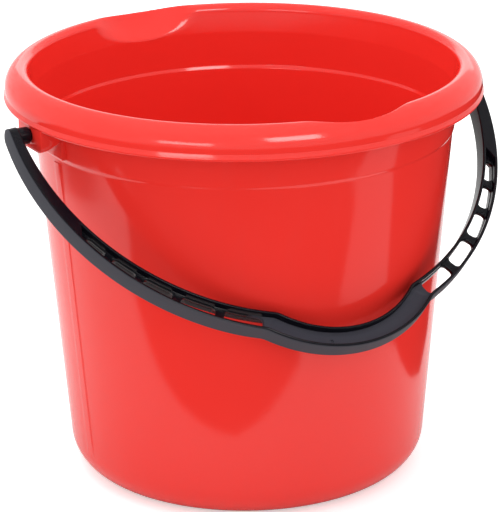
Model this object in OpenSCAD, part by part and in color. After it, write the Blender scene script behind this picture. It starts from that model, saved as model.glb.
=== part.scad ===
// Round household pail with a swinging carrying handle. Millimetres, +Z up.
// The origin is on the surface that the pail stands on, at the pail's centre line.
// The handle turns about a line along X through the two ears under the rim.
// At rest it lies against the wall on the -Y side. The pouring scoops are at +Y and -Y.

/* [Pail] */
// Overall height of the pail
pail_h = 275; // [230:1:330]
// Outside radius of the wall, carried down to the base plane
base_r = 116.5; // [96:0.5:138]
// Wall thickness
wall_t = 1.6; // [1.2:0.1:2.4]
// Floor thickness
floor_t = 2.2; // [1.6:0.1:3.5]
// Outside radius of the corner between wall and floor
corner_r = 23.5; // [18:0.5:30]
// Inside radius of the corner between wall and floor
corner_in_r = 18.5; // [12:0.5:23]
// Width of the ring that the pail stands on
foot_w = 3; // [2:0.5:6]
// Height of that ring
foot_h = 2.5; // [1:0.1:4]

/* [Band under the rim] */
// Depth of the step in the wall below the top of the pail
step_drop = 43.5; // [38:0.5:60]
// How far the wall steps out there
step_w = 1; // [0.4:0.1:2]
// Height of the step's slope
step_h = 2; // [1:0.5:4]
// How far the band widens from the step to the rim
band_flare = 1.3; // [0:0.1:3]

/* [Rim] */
// Outside radius of the rim
rim_r = 155; // [129:0.5:186]
// Width of the rim, from the mouth to its outside
rim_w = 15.9; // [13.5:0.1:20]
// Height of the rim, from its lip to the top
rim_h = 20.4; // [17:0.5:26]
// Thickness of the rim's skin
rim_t = 1.8; // [1.4:0.1:2.6]
// Radius of the rounded inner edge at the mouth
crest_r = 3; // [2.7:0.1:4]
// Fall of the rim's top, in degrees
rim_slope = 12; // [8:1:16]
// Radius of the rim's outer shoulder
shoulder_r = 15; // [12:0.5:15.5]
// Slope of the rim's outside below the shoulder, in degrees
skirt_slope = 8; // [2:1:12]
// How far the bead along the lip stands out from that outside
lip_out = 0.8; // [0.2:0.1:1.2]
// Radius of the bead along the lip
bead_r = 1.4; // [1:0.1:1.8]
// How far the inside widens under the mouth
flank = 2.2; // [1:0.1:4]
// Height over which it widens
flank_h = 16; // [13:0.5:18]

/* [Pouring scoops] */
// Radius of the hollow
scoop_r = 62.6; // [50:0.5:76]
// Depth of its lowest point below the top of the pail
scoop_drop = 19; // [15:0.5:23]
// Width of rim left outside its tip
scoop_land = 5.6; // [4:0.1:8]
// Depth of its tip below the top of the pail
scoop_tip = 1.5; // [0.5:0.1:3]

/* [Ears] */
// Width of an ear
ear_w = 32; // [26:1:40]
// How far its face stands in from the rim's widest radius
ear_in = 0.4; // [0.2:0.1:2]
// Thickness of its face plate
ear_t = 3; // [2:0.1:4]
// Thickness of its side ribs
ear_rib_t = 2; // [1.4:0.1:3]
// How far it reaches below the pin's centre
ear_below = 9; // [7.5:0.5:12]
// How far its lower edge rises towards the wall
ear_rise = 10; // [4:0.5:14]
// Radius of its lower corners
ear_corner_r = 5; // [2:0.5:6]
// Width of the flat pad on the wall under it
pad_w = 30; // [20:1:36]
// How far the pad stands out of the wall
pad_t = 1.4; // [0.6:0.1:3]

/* [Handle pins] */
// Radius of the pins
pin_r = 3.9; // [3:0.1:4.7]
// Gap round a pin in its ear
pin_gap = 0.3; // [0.2:0.05:0.5]
// Gap between the pins and the lip above them
pin_lip_gap = 1.8; // [0.6:0.1:3]
// Side gap between the ear's plate and the handle's parts
side_gap = 0.4; // [0.3:0.1:1]
// How far the pin's head stands out round the pin
head_lip = 1.4; // [0.8:0.1:2]
// Thickness of the pin's head
head_t = 2.2; // [1.5:0.1:3]
// Radius of the collar where a pin leaves its arm
collar_r = 5.6; // [5:0.1:6.2]

/* [Handle] */
// Gap between the rim's bead and the arms as they swing past
swing_gap = 7.1; // [5:0.1:9]
// Gap left between the resting handle and the wall
rest_gap = 0.4; // [0.3:0.1:1]
// Depth of the handle, square to its own plane
handle_d = 12.4; // [9:0.1:14]
// Width of an arm at its pin
arm_w = 6.9; // [6:0.1:9]
// Distance from the pins to the centre of the arms' inner arc
arc_in_drop = 4.9; // [0:0.1:9]
// Distance from the pins to the centre of the arms' outer arc
arc_out_drop = 12.0; // [10:0.1:17]
// How far the grip dips below the arms' arc
grip_dip = 12.5; // [8:0.1:16]
// Radius of the grip's inner edge
grip_in_r = 70.1; // [58:0.1:84]
// Radius of the grip's outer edge
grip_out_r = 90.0; // [75:0.1:108]
// Radius of the bend from arm to grip, inner edge
bend_in_r = 13.2; // [11:0.1:16]
// Radius of the bend from arm to grip, outer edge
bend_out_r = 15.4; // [12:0.1:18]
// Thickness of the two flanges along its edges
flange_t = 2.0; // [1.4:0.1:3]
// Thickness of the web between the flanges
web_t = 3; // [2:0.1:6]
// Thickness of that web along the grip
grip_web_t = 2; // [1.5:0.1:3]
// Half length of the part of the grip with the thin web
grip_half = 55; // [40:1:62]
// Angle at which the flanges start, about the arms' arc, in degrees
flange_from = 24.5; // [18:0.5:25.5]

/* [Slots in the arms] */
// Number of slots in each arm
slot_count = 5; // [3:1:5]
// Angle at which the first one starts, in degrees
slot_from = 26.3; // [26:0.1:30]
// Length of the first slot
slot_len = 15.2; // [10:0.1:16]
// How much longer each next one is
slot_grow = 2.6; // [0:0.1:2.8]
// Width of the bars between them
bar_w = 5.6; // [4.5:0.1:7]
// Web left on both sides of a slot
land = 0.3; // [0.1:0.1:1.2]
// Largest corner radius of a slot
slot_corner_r = 3; // [1:0.1:4]

/* [Hidden] */
$fn = 96;

// Cutting tools run past the solid by this much
past = 1;
// Largest angle between two points of a long arc and of a short one
long_step = 3;
short_step = 11;

// Heights, from the top down
lip_z = pail_h - rim_h;
step_z = pail_h - step_drop;
flank_z = pail_h - crest_r - flank_h;
pivot_z = lip_z - pin_r - pin_lip_gap;

// Outside radii of the wall, from the mouth down
mouth_r = rim_r - rim_w;
neck_r = mouth_r - flank + wall_t;
band_r = neck_r - band_flare;
step_r = band_r - step_w;
step_low = step_z - step_h / 2;
step_high = step_z + step_h / 2;
taper = atan((step_r - base_r) / step_low);

// Centres of the rounded parts of the pail's section, as radius and height
crest_c = [mouth_r + crest_r, pail_h - crest_r];
top_n = [sin(rim_slope), cos(rim_slope)];
top_line = crest_c * top_n + crest_r - shoulder_r;
shoulder_c_r = rim_r - shoulder_r;
shoulder_c = [shoulder_c_r, (top_line - shoulder_c_r * top_n[0]) / top_n[1]];
lip_r = rim_r + lip_out;
bead_c = [lip_r - bead_r, lip_z + bead_r];
corner_c = [base_r + corner_r * (tan(taper) - 1 / cos(taper)), corner_r];
floor_z = foot_h + floor_t;
corner_in_z = floor_z + corner_in_r;
corner_in_c = [
    base_r - wall_t + tan(taper) * corner_in_z - corner_in_r / cos(taper),
    corner_in_z
];

// The scoop's sphere passes through its tip on the rim and its lowest point on the inner wall
scoop_tip_p = [rim_r - scoop_land, pail_h - scoop_tip];
scoop_low_p = [neck_r - wall_t, pail_h - scoop_drop];
scoop_chord = scoop_tip_p - scoop_low_p;
scoop_back = sqrt(scoop_r * scoop_r - scoop_chord * scoop_chord / 4);
scoop_side = [-scoop_chord[1], scoop_chord[0]] / norm(scoop_chord);
scoop_c = (scoop_tip_p + scoop_low_p) / 2 + scoop_back * scoop_side;

// Ears and pins, as distances from the pail's centre line
ear_x = rim_r - ear_in;
plate_x = ear_x - ear_t;
pad_x = neck_r + pad_t;
bore_r = pin_r + pin_gap;
head_x = plate_x - side_gap - head_t;
collar_x = ear_x + side_gap;

// Handle, in its own plane: across the pail, and away from the pins
arm_in_x = lip_r + swing_gap;
arm_out_x = arm_in_x + arm_w;
arc_in_r = norm([arm_in_x, arc_in_drop]);
arc_out_r = norm([arm_out_x, arc_out_drop]);
grip_in_v = arc_in_drop + arc_in_r + grip_dip - grip_in_r;
grip_out_v = arc_out_drop + arc_out_r + grip_dip - grip_out_r;
mid_v = (arc_in_drop + arc_out_drop) / 2;
mid_r = (arc_in_r + arc_out_r) / 2;
arc_shift = (arc_out_drop - arc_in_drop) / 2;

// Points of an arc about c from angle a0 towards a1, without its last point
function arc(c, r, a0, a1, step) =
    let (n = max(1, ceil(abs(a1 - a0) / step)))
    [for (i = [0 : n - 1]) c + r * [cos(a0 + (a1 - a0) * i / n), sin(a0 + (a1 - a0) * i / n)]];

// The point of a circle at one angle
function on(c, r, a) = c + r * [cos(a), sin(a)];

function reversed(pts) = [for (i = [len(pts) - 1 : -1 : 0]) pts[i]];

// Outside radius of the tapered wall at height z
function wall_r(z) = base_r + (step_r - base_r) * z / step_low;

// One edge of the handle from the right arm's end to the middle of the grip.
// The arm's arc and the grip's arc are joined by a bend that touches both.
function half_edge(arc_v, arc_r, grip_v, grip_r, bend_r, from) =
    let (a = arc_r + bend_r)
    let (b = grip_r + bend_r)
    let (d = grip_v - arc_v)
    let (up = (a * a - b * b + d * d) / (2 * d))
    let (bend_c = [sqrt(a * a - up * up), arc_v + up])
    let (t_arm = atan2(up, bend_c[0]))
    let (t_grip = atan2(up - d, bend_c[0]))
    concat(
        arc([0, arc_v], arc_r, from, t_arm, long_step),
        arc(bend_c, bend_r, 180 + t_arm, 180 + t_grip, long_step),
        arc([0, grip_v], grip_r, t_grip, 90, long_step)
    );

// A whole edge, mirrored about the grip's middle
function whole_edge(half, tip) = concat(half, [tip], [for (p = reversed(half)) [-p[0], p[1]]]);

// Inner edge of the handle, moved out by grow and starting at the given angle
function inner_edge(grow, from) = whole_edge(
    half_edge(arc_in_drop, arc_in_r + grow, grip_in_v, grip_in_r + grow, bend_in_r - grow, from),
    [0, grip_in_v + grip_in_r + grow]
);

// Outer edge of the handle, moved out by grow and starting at the given angle
function outer_edge(grow, from) = whole_edge(
    half_edge(arc_out_drop, arc_out_r + grow, grip_out_v, grip_out_r + grow, bend_out_r - grow, from),
    [0, grip_out_v + grip_out_r + grow]
);

// Angles at which the two edges of an arm end, past the pin
end_in = asin((-handle_d - arc_in_drop) / arc_in_r);
end_out = asin((-handle_d - arc_out_drop) / arc_out_r);

// Smallest gap between the handle's back and the wall when it hangs at angle a from straight down
rest_edge = inner_edge(0, 0);
function wall_gap(a) = min([
    for (p = rest_edge)
        let (y = handle_d / 2 * cos(a) - p[1] * sin(a))
        let (z = pivot_z - p[1] * cos(a) - handle_d / 2 * sin(a))
        (norm([p[0], y]) - wall_r(z)) * cos(taper)
]);

// The resting angle, found by halving the interval that holds it
function rest_angle(low, high, n) =
    let (mid = (low + high) / 2)
    n == 0 ? mid : wall_gap(mid) > rest_gap ? rest_angle(low, mid, n - 1) : rest_angle(mid, high, n - 1);
lean = rest_angle(20, 89, 24);

// Start of slot i as a length along the arms' middle arc
function slot_start(i) = i * (slot_len + bar_w) + slot_grow * i * (i - 1) / 2;
function slot_length(i) = slot_len + slot_grow * i;
function slot_angle(i) = slot_from + (slot_start(i) + slot_length(i) / 2) / mid_r * 180 / PI;

// Width of an arm at angle a, and how much of it a slot takes
function arm_width(a) = arc_out_r - arc_in_r + 2 * arc_shift * sin(a);
function slot_width(a) = arm_width(a) - 2 * flange_t - 2 * land;

// The point of an arm at angle a that is x from its middle, with x measured where the slot's centre is
function on_arm(a, x, centre) = on([0, mid_v], mid_r + x * slot_width(a) / slot_width(centre), a);

// Outline of a slot w wide and l long with round corners, centred, as points across and along
function round_box(w, l, r) =
    let (x = w / 2 - r)
    let (y = l / 2 - r)
    let (n = ceil(2 * y / mid_r * 180 / PI / long_step))
    concat(
        [for (i = [0 : n - 1]) [w / 2, -y + 2 * y * i / n]],
        arc([x, y], r, 0, 90, short_step),
        arc([-x, y], r, 90, 180, short_step),
        [for (i = [0 : n - 1]) [-w / 2, y - 2 * y * i / n]],
        arc([-x, -y], r, 180, 270, short_step),
        arc([x, -y], r, 270, 360, short_step)
    );

// Section of the pail's skin: up the outside, round the hollow rim and down the inside
module skin_section() {
    polygon(concat(
        [[0, foot_h], [corner_c[0] - foot_w, foot_h], [corner_c[0] - foot_w, 0]],
        arc(corner_c, corner_r, -90, -taper, short_step),
        [on(corner_c, corner_r, -taper), [step_r, step_low], [band_r, step_high]],
        [[neck_r, flank_z], [mouth_r + wall_t, crest_c[1]]],
        [on(crest_c, crest_r - rim_t, 90 - rim_slope)],
        arc(shoulder_c, shoulder_r - rim_t, 90 - rim_slope, -skirt_slope, short_step),
        [on(shoulder_c, shoulder_r - rim_t, -skirt_slope)],
        arc(bead_c, bead_r, 180, 405, 2 * short_step), [on(bead_c, bead_r, 405)],
        arc(shoulder_c, shoulder_r, -skirt_slope, 90 - rim_slope, short_step),
        [on(shoulder_c, shoulder_r, 90 - rim_slope)],
        arc(crest_c, crest_r, 90 - rim_slope, 180, 2 * short_step), [on(crest_c, crest_r, 180)],
        [[neck_r - wall_t, flank_z], [band_r - wall_t, step_high], [step_r - wall_t, step_low]],
        arc(corner_in_c, corner_in_r, -taper, -90, short_step), [on(corner_in_c, corner_in_r, -90)],
        [[0, floor_z]]
    ));
}

// Section of the space behind the rim, out to the middle of the skin round it.
// Below the lip it is open to the outside.
module behind_rim_section() {
    half_t = rim_t / 2;
    polygon(concat(
        [[band_r - wall_t / 2, step_high], [neck_r - wall_t / 2, flank_z]],
        [[mouth_r + wall_t / 2, crest_c[1]], on(crest_c, crest_r - half_t, 90 - rim_slope)],
        arc(shoulder_c, shoulder_r - half_t, 90 - rim_slope, -skirt_slope, short_step),
        [on(shoulder_c, shoulder_r - half_t, -skirt_slope), bead_c],
        [[lip_r, bead_c[1]], [lip_r, step_high]]
    ));
}

// Front view of an ear, round at its lower corners
module ear_front() {
    y = ear_w / 2;
    low = pivot_z - ear_below;
    r = ear_corner_r;
    polygon(concat(
        [[y, pail_h], [-y, pail_h]],
        arc([-y + r, low + r], r, 180, 270, short_step), [on([-y + r, low + r], r, 270)],
        arc([y - r, low + r], r, 270, 360, short_step), [on([y - r, low + r], r, 360)]
    ));
}

// Side view of an ear, with its lower edge rising to the wall
module ear_side() {
    low = pivot_z - ear_below;
    polygon([
        [ear_x, pail_h],
        [ear_x, low],
        [plate_x, low],
        [band_r - wall_t, low + ear_rise],
        [band_r - wall_t, pail_h]
    ]);
}

// Plate and two ribs, open inwards and downwards, before they are trimmed to the rim's hollow
module ear_frame() {
    inner_w = ear_w - 2 * ear_rib_t;
    difference() {
        intersection() {
            rotate([90, 0, 90]) linear_extrude(ear_x) ear_front();
            translate([0, ear_w, 0]) rotate([90, 0, 0]) linear_extrude(2 * ear_w) ear_side();
        }
        translate([0, -inner_w / 2, 0]) cube([plate_x, inner_w, pail_h + past]);
    }
}

// The ear on +X with the pad below it
module ear() {
    intersection() {
        rotate_extrude() behind_rim_section();
        union() {
            ear_frame();
            translate([0, -pad_w / 2, step_low]) cube([pad_x, pad_w, lip_z - step_low]);
        }
    }
}

// The wall of the scoop on +Y, which closes the hollow rim behind it
module scoop_wall() {
    intersection() {
        rotate_extrude() behind_rim_section();
        translate([0, scoop_c[0], scoop_c[1]]) sphere(scoop_r + rim_t);
    }
}

// Both of a pair of shapes: the one on +X or +Y, and its partner across the pail
module pair() {
    children();
    rotate([0, 0, 180]) children();
}

// The part of one recess of the handle that reaches t from its middle plane
module recess(t, half_w) {
    outline = concat(outer_edge(-flange_t, flange_from), reversed(inner_edge(flange_t, flange_from)));
    intersection() {
        translate([0, 0, t]) linear_extrude(handle_d) polygon(outline);
        translate([-half_w, 0, 0]) cube([2 * half_w, 2 * arm_out_x, handle_d]);
    }
}

// Both recesses on one face of the handle: along the arms, and deeper along the grip
module face_recess() {
    recess(web_t / 2, arm_out_x);
    recess(grip_web_t / 2, grip_half);
}

// The slots through one arm's web, bent to the arm
module arm_slots() {
    for (i = [0 : slot_count - 1]) {
        centre = slot_angle(i);
        w = slot_width(centre);
        flat = round_box(w, slot_length(i), min(slot_corner_r, 0.45 * w));
        bent = [for (p = flat) on_arm(centre + p[1] / mid_r * 180 / PI, p[0], centre)];
        translate([0, 0, -handle_d]) linear_extrude(2 * handle_d) polygon(bent);
    }
}

// Side view of the handle in its own plane: flat on both faces and round about the pins
module side_outline() {
    r = handle_d / 2;
    length = grip_out_v + grip_out_r + past;
    polygon(concat(arc([0, 0], r, 90, 270, short_step), [[0, -r], [length, -r], [length, r], [0, r]]));
}

// The bow of the handle in its own plane
module bow() {
    outline = concat(outer_edge(0, end_out), reversed(inner_edge(0, end_in)));
    difference() {
        intersection() {
            translate([0, 0, -handle_d]) linear_extrude(2 * handle_d) polygon(outline);
            translate([-2 * arm_out_x, 0, 0])
                rotate([90, 0, 90]) linear_extrude(4 * arm_out_x) side_outline();
        }
        face_recess();
        mirror([0, 0, 1]) face_recess();
        arm_slots();
        mirror([1, 0, 0]) arm_slots();
    }
}

// A shaft along X from x0 to x1, with a radius at each end
module shaft(x0, x1, r0, r1) {
    translate([x0, 0, 0]) rotate([0, 90, 0]) cylinder(h = x1 - x0, r1 = r0, r2 = r1);
}

// The pin on +X: head behind the ear's plate, shank through it, and collar up to the arm
module pin() {
    shaft(head_x, head_x + head_t, pin_r + head_lip, pin_r + head_lip);
    shaft(head_x, collar_x, pin_r, pin_r);
    shaft(collar_x, lip_r + side_gap, pin_r, collar_r);
    shaft(lip_r + side_gap, arm_in_x + arm_w / 2, collar_r, collar_r);
}

// The pail: wall, floor, hollow rim, ears and scoops in one moulding
module bucket_body() {
    color([0.93, 0.2, 0.19])
    difference() {
        union() {
            rotate_extrude() skin_section();
            pair() ear();
            pair() scoop_wall();
        }
        pair() translate([0, scoop_c[0], scoop_c[1]]) sphere(scoop_r);
        pair() translate([0, 0, pivot_z]) shaft(plate_x - past, ear_x + past, bore_r, bore_r);
    }
}

// The carrying handle: bow and snap-in pins in one moulding
module handle() {
    color([0.1, 0.1, 0.12])
    translate([0, 0, pivot_z]) {
        rotate([-90 - lean, 0, 0]) bow();
        pair() pin();
    }
}

bucket_body();
handle();
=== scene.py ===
# %% [markdown]
# # A red pail with a black handle
# The real object is two injection mouldings: a glossy red pail with a hollow rolled rim, and a satin
# black handle that snaps into two ears under that rim. Each moulding becomes one mesh here. The CAD
# model stays underneath as the frame: it says where the pail stands and where the handle turns.

# %% The frame
import math

import bmesh
import bpy
import numpy as np
from mathutils import Matrix, Vector


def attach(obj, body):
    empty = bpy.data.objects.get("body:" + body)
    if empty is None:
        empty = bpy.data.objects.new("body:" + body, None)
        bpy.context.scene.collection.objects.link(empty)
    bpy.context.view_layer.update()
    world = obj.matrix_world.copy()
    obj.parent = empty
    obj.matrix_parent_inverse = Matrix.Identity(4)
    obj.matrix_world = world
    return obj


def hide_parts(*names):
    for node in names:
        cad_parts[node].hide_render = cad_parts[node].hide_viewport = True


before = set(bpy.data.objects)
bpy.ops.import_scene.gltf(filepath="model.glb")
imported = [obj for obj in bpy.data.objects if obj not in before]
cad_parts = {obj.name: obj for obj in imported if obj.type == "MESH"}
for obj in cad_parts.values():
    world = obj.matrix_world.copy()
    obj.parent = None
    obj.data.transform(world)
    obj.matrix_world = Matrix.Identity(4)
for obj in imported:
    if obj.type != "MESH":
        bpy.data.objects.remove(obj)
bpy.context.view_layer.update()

MM = 0.001
scene = bpy.context.scene

# %% [markdown]
# ## Outlines with rounded corners
# No corner of a moulding is knife-sharp: each has a small radius, and that radius catches the light. A
# bevel on the finished mesh would give all of them one width. So an outline is a list of corners, each
# with its own radius.

# %% Arcs and rounded corners
SIDE_SHARE, ROUND_STEPS = 0.48, 4        # the most of a side that a rounding takes, and its steps


def at(centre, radius, degrees, ease=0):
    """The corner on a circle at an angle, with the radius that it is rounded to."""
    a = math.radians(degrees)
    return (centre[0] + radius * math.cos(a), centre[1] + radius * math.sin(a), ease)


def arc(centre, radius, start, stop, steps):
    """Corners along an arc, angles in degrees."""
    return [at(centre, radius, degrees) for degrees in np.linspace(start, stop, steps + 1)]


def rounded(corners):
    """A path through corners given as (x, y, radius), each turned into a small arc."""
    path = []
    for i, (x, y, radius) in enumerate(corners):
        here = np.array([x, y], float)
        if radius == 0 or i in (0, len(corners) - 1):
            path.append(here)
            continue
        before, after = np.array(corners[i - 1][:2]) - here, np.array(corners[i + 1][:2]) - here
        sides = np.linalg.norm(before), np.linalg.norm(after)
        before, after = before / sides[0], after / sides[1]
        half = math.acos(np.clip(before @ after, -1, 1)) / 2
        reach = min(radius / math.tan(half), SIDE_SHARE * min(sides))
        middle = here + (before + after) / np.linalg.norm(before + after) * reach / math.cos(half)
        a, b, gap = here + before * reach - middle, here + after * reach - middle, math.pi - 2 * half
        for k in range(ROUND_STEPS + 1):
            t = k / ROUND_STEPS
            path.append(middle + (math.sin((1 - t) * gap) * a + math.sin(t * gap) * b) / math.sin(gap))
    return np.array(path)


print("a rounded corner has", len(rounded([(0, 0, 0), (9, 0, 2), (9, 9, 0)])) - 2, "points")

# %% [markdown]
# ## The pail's section
# Cut the pail through its middle and this is the outline of the plastic: up the outside, round the
# hollow rim, and down the inside. It could be a curve drawn by hand, but worked out from sizes, one
# number changes one thing. The sizes are the CAD model's, except that the rim's crest is rounded wider,
# because on the real rim the light fades over the crest and shows no hard edge.

# %% Sizes of the pail, in millimetres
PAIL_H, FLOOR_Z, WALL_T = 275.0, 4.7, 1.6
BASE_R, STEP_R, BAND_R, NECK_R = 116.5, 136.2, 137.2, 138.5
STEP_LOW, STEP_HIGH, FLANK_Z = 230.5, 232.5, 256.0
CORNER_R, CORNER_IN_R, FOOT_H, FOOT_IN, FOOT_W = 23.5, 18.5, 2.5, 3.4, 2.6
RIM_R, MOUTH_R, RIM_T, RIM_SLOPE, SKIRT_SLOPE = 155.0, 139.1, 1.8, 25, 8
CREST_R, CREST_Z, SHOULDER_R = 5.0, 269.97, 15.0
LIP_Z, LIP_OUT, BEAD_R = 254.6, 0.8, 1.4
print("pail:", PAIL_H, "high and", 2 * RIM_R, "across the rim")

# %% Radii of its small corners, and where stretches of the outline meet
FOOT_TOP_ROUND, FOOT_EDGE_ROUND, STEP_ROUND, STEP_IN_ROUND = 1.2, 0.8, 4.0, 1.6
NECK_ROUND, NECK_IN_ROUND, ROOF_ROUND, PEAK_ROUND = 3, 4, 1.0, 0.6
BEAD_IN_ROUND, BEAD_OUT_ROUND = 0.4, 0.5
OUT_MEETS, IN_MEETS = (NECK_R, 246.0), (BAND_R - WALL_T + 0.6, 244.0)
BEAD_FROM, BEAD_TO, BEAD_LEAVES, SEAM, RIM_FROM = 185, 395, 1.5, 2, 5        # in degrees
APART = 2        # degrees between the ends of neighbouring arcs
print("the rim begins at", OUT_MEETS, "and ends at", IN_MEETS)

# %% The centres of its arcs
taper = math.atan((STEP_R - BASE_R) / STEP_LOW)
taper_deg = math.degrees(taper)
corner_c = (BASE_R + CORNER_R * (math.tan(taper) - 1 / math.cos(taper)), CORNER_R)
corner_in_z = FLOOR_Z + CORNER_IN_R
corner_in_r = BASE_R - WALL_T + math.tan(taper) * corner_in_z - CORNER_IN_R / math.cos(taper)
crest_c = (MOUTH_R + CREST_R, CREST_Z)
slope = math.radians(RIM_SLOPE)
top_line = crest_c[0] * math.sin(slope) + crest_c[1] * math.cos(slope) + CREST_R - SHOULDER_R
shoulder_r = RIM_R - SHOULDER_R
shoulder_c = (shoulder_r, (top_line - shoulder_r * math.sin(slope)) / math.cos(slope))
bead_c = (RIM_R + LIP_OUT - BEAD_R, LIP_Z + BEAD_R)
top_turn, low_turn = 90 - RIM_SLOPE, -SKIRT_SLOPE        # the shoulder's two ends, in degrees
print("wall leans out by", round(taper_deg, 2), "degrees")

# %% The outline in five stretches
foot_x = corner_c[0]
under_and_wall = rounded(
    [(0, FOOT_H, 0), (foot_x - FOOT_IN, FOOT_H, FOOT_TOP_ROUND), (foot_x - FOOT_W, 0, FOOT_EDGE_ROUND)]
    + [(foot_x, 0, 0)] + arc(corner_c, CORNER_R, 2 * APART - 90, -taper_deg, 12)
    + [(STEP_R, STEP_LOW, STEP_ROUND), (BAND_R, STEP_HIGH, STEP_ROUND), (*OUT_MEETS, 0)]
)
hollow = rounded(
    [(*OUT_MEETS, 0), (NECK_R, FLANK_Z, NECK_ROUND), (MOUTH_R + WALL_T, CREST_Z, ROOF_ROUND)]
    + [at(crest_c, CREST_R - RIM_T, top_turn, PEAK_ROUND)]
    + arc(shoulder_c, SHOULDER_R - RIM_T, top_turn - APART, low_turn + APART, 14)
    + [at(shoulder_c, SHOULDER_R - RIM_T, low_turn)]
)
bead = rounded(
    [at(shoulder_c, SHOULDER_R - RIM_T, low_turn, BEAD_IN_ROUND)]
    + arc(bead_c, BEAD_R, BEAD_FROM, BEAD_TO, 12)
    + [at(shoulder_c, SHOULDER_R, low_turn + BEAD_LEAVES, BEAD_OUT_ROUND)]
    + [at(shoulder_c, SHOULDER_R, SEAM)]
)
over_rim = rounded(
    [at(shoulder_c, SHOULDER_R, SEAM)] + arc(shoulder_c, SHOULDER_R, RIM_FROM, top_turn, 24)
    + arc(crest_c, CREST_R, top_turn + APART, 180, 12)
    + [(NECK_R - WALL_T, FLANK_Z, NECK_IN_ROUND), (*IN_MEETS, 0)]
)
down_inside = rounded(
    [(*IN_MEETS, 0), (BAND_R - WALL_T, STEP_HIGH, STEP_IN_ROUND)]
    + [(STEP_R - WALL_T, STEP_LOW, STEP_IN_ROUND)]
    + arc((corner_in_r, corner_in_z), CORNER_IN_R, -taper_deg, -90, 12) + [(0, FLOOR_Z, 0)]
)
print("outline from", under_and_wall[0], "to", down_inside[-1])

# %% [markdown]
# The two stretches round the rim are spaced evenly in angle about a pole inside the rim. Seen from
# there, each point of the rim has one distance, and pressing a scoop in later only shortens it.

# %% Even spacing, and the whole section
POLE = (146.0, 262.0)
WALL_STEP, FINE_STEP, HOLLOW_STEPS, RIM_STEPS = 17, 0.2, 34, 84


def divided(path, longest):
    """The same path with long stretches cut into shorter ones."""
    points = [path[0]]
    for a, b in zip(path[:-1], path[1:]):
        n = max(1, math.ceil(np.linalg.norm(b - a) / longest))
        points += [a + (b - a) * k / n for k in range(1, n + 1)]
    return np.array(points)


def by_angle(path, steps):
    """The path at even angles about the pole, from its first point to its last."""
    off = divided(path, FINE_STEP) - np.array(POLE)
    angle = np.unwrap(np.arctan2(off[:, 1], off[:, 0]))
    way = 1 if angle[-1] > angle[0] else -1
    wanted = np.linspace(angle[0], angle[-1], steps + 1)
    r = np.interp(way * wanted, way * angle, np.hypot(off[:, 0], off[:, 1]))
    return np.stack([POLE[0] + r * np.cos(wanted), POLE[1] + r * np.sin(wanted)], -1)


stretches = [        # points, with whether they are on the rim, and whether on its hidden side
    (divided(under_and_wall, WALL_STEP)[:-1], (0, 0)),
    (by_angle(hollow, HOLLOW_STEPS)[:-1], (1, 1)),
    (bead[:-1], (0, 0)),
    (by_angle(over_rim, RIM_STEPS)[:-1], (1, 0)),
    (divided(down_inside, WALL_STEP), (0, 0)),
]
section = np.vstack([path for path, _ in stretches]) * MM
flags = np.vstack([np.tile(flag, (len(path), 1)) for path, flag in stretches])
print("pail section:", len(section), "points,", flags[:, 0].sum(), "of them on the rim")

# %% [markdown]
# ## Writing node trees as sums
# Both Geometry Nodes and shaders are trees of small nodes. A formula is hard to read as a row of node
# calls, so one class wraps a socket and turns + - * / into Math nodes, with numbers on either side.
# Every other node comes from one method that takes its type, its settings and its inputs.

# %% A socket that can be added and multiplied
def operator(operation, reflected=False):
    """A Python operator as one Math node; reflected, the number stands before the term."""
    def method(self, other):
        pair = (other, self) if reflected else (self, other)
        return self.node("ShaderNodeMath", {"operation": operation}, dict(enumerate(pair)))
    return method


class Term:
    """One output of a node, usable in Python expressions."""

    __add__ = __radd__ = operator("ADD")
    __sub__, __rsub__ = operator("SUBTRACT"), operator("SUBTRACT", reflected=True)
    __mul__ = __rmul__ = operator("MULTIPLY")
    __truediv__, __rtruediv__ = operator("DIVIDE"), operator("DIVIDE", reflected=True)
    __lt__, __gt__ = operator("LESS_THAN"), operator("GREATER_THAN")

    def __init__(self, tree, socket):
        self.tree = tree
        self.socket = socket

    def node(self, kind, settings=None, inputs=None, output=0):
        made = self.tree.nodes.new(kind)
        for name, value in (settings or {}).items():
            setattr(made, name, value)
        for name, value in (inputs or {}).items():
            if isinstance(value, Term):
                self.tree.links.new(value.socket, made.inputs[name])
            else:
                made.inputs[name].default_value = value
        return Term(self.tree, made.outputs[output])

    def math(self, operation, *values):
        return self.node("ShaderNodeMath", {"operation": operation}, dict(enumerate((self, *values))))

    def vector(self, operation, *values, output=0):
        inputs = dict(enumerate((self, *values)))
        return self.node("ShaderNodeVectorMath", {"operation": operation}, inputs, output)

    def part(self, index):
        """x, y or z of a vector, as 0, 1 or 2."""
        return self.node("ShaderNodeSeparateXYZ", None, {0: self}, index)


# %% [markdown]
# ## Turning a section into a round piece
# A pail, a pin and a bore are all one outline turned about an axis, so one Geometry Nodes tree makes
# them all: a grid of points, one column for each step round, whose places come from a formula.
# The same formula presses the two pouring scoops into the rim. Seen from the pole inside the rim, the
# skin is as far away as the section says or as the scoop's ball says, whichever is nearer. A smooth
# minimum of the two gives the soft edge that the photograph shows round the scoop.

# %% The tree for turned pieces: its grid
def new_shape_tree(name, count, *sizes):
    """A Geometry Nodes tree with a count and sizes as its named inputs, and the terms of those."""
    tree = bpy.data.node_groups.new(name, "GeometryNodeTree")
    kinds = {"Geometry": "Geometry", count: "Int", **dict.fromkeys(sizes, "Float")}
    for label, kind in (*kinds.items(), ("Material", "Material")):
        tree.interface.new_socket(label, in_out="INPUT", socket_type="NodeSocket" + kind)
    tree.interface.new_socket("Geometry", in_out="OUTPUT", socket_type="NodeSocketGeometry")
    start = tree.nodes.new("NodeGroupInput")
    return tree, {s.name: Term(tree, s) for s in start.outputs if s.name}


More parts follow.
